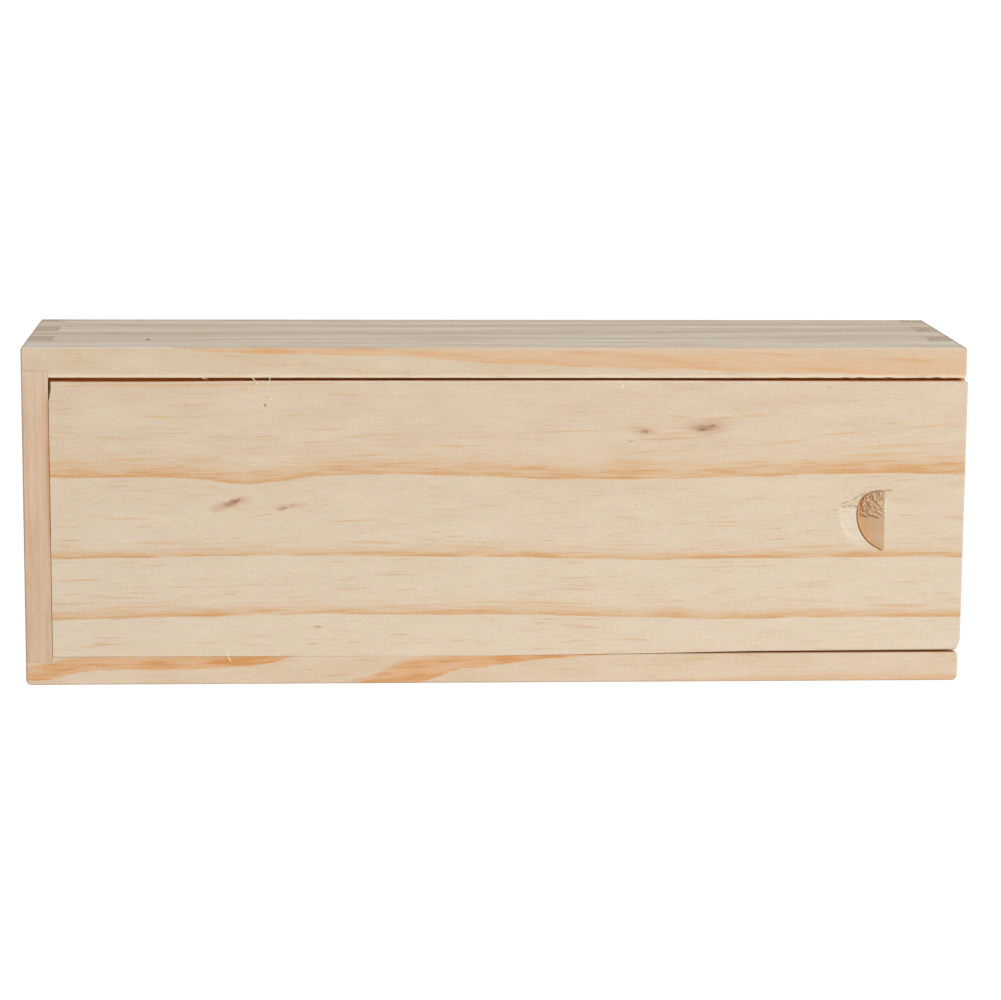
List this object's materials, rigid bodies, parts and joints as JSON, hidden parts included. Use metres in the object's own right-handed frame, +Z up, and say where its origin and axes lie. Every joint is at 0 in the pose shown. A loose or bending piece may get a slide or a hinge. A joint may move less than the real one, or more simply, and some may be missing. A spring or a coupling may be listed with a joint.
{
  "type": "sliding lid box",
  "caption": "Small pine box for pencils and keepsakes, with finger-jointed walls and a lid that slides out of grooves by a half-round thumb notch.",
  "frame": {"origin": "middle of the long side that the box stands on, as it is shown, below the middle of its depth", "axes": "+X along the box, the way the lid slides out; +Y from the lid to the bottom panel; +Z up, across the lid"},
  "size_m": [0.2004, 0.052, 0.0724],
  "materials": {
    "side_pine": "planed pine, bare",
    "end_pine": "planed pine, bare",
    "bottom_pine": "thin planed pine, bare",
    "lid_pine": "planed pine, bare"
  },
  "bodies": {
    "box": {"upper_side": "side_pine", "lower_side": "side_pine", "closed_end": "end_pine", "open_end": "end_pine", "bottom_panel": "bottom_pine"},
    "lid": {"sliding_lid": "lid_pine"}
  },
  "joints": [
    {"name": "lid_slide", "type": "slide", "parent": "box", "child": "lid", "axis": [1, 0, 0], "range_m": [0, 0.2]}
  ]
}
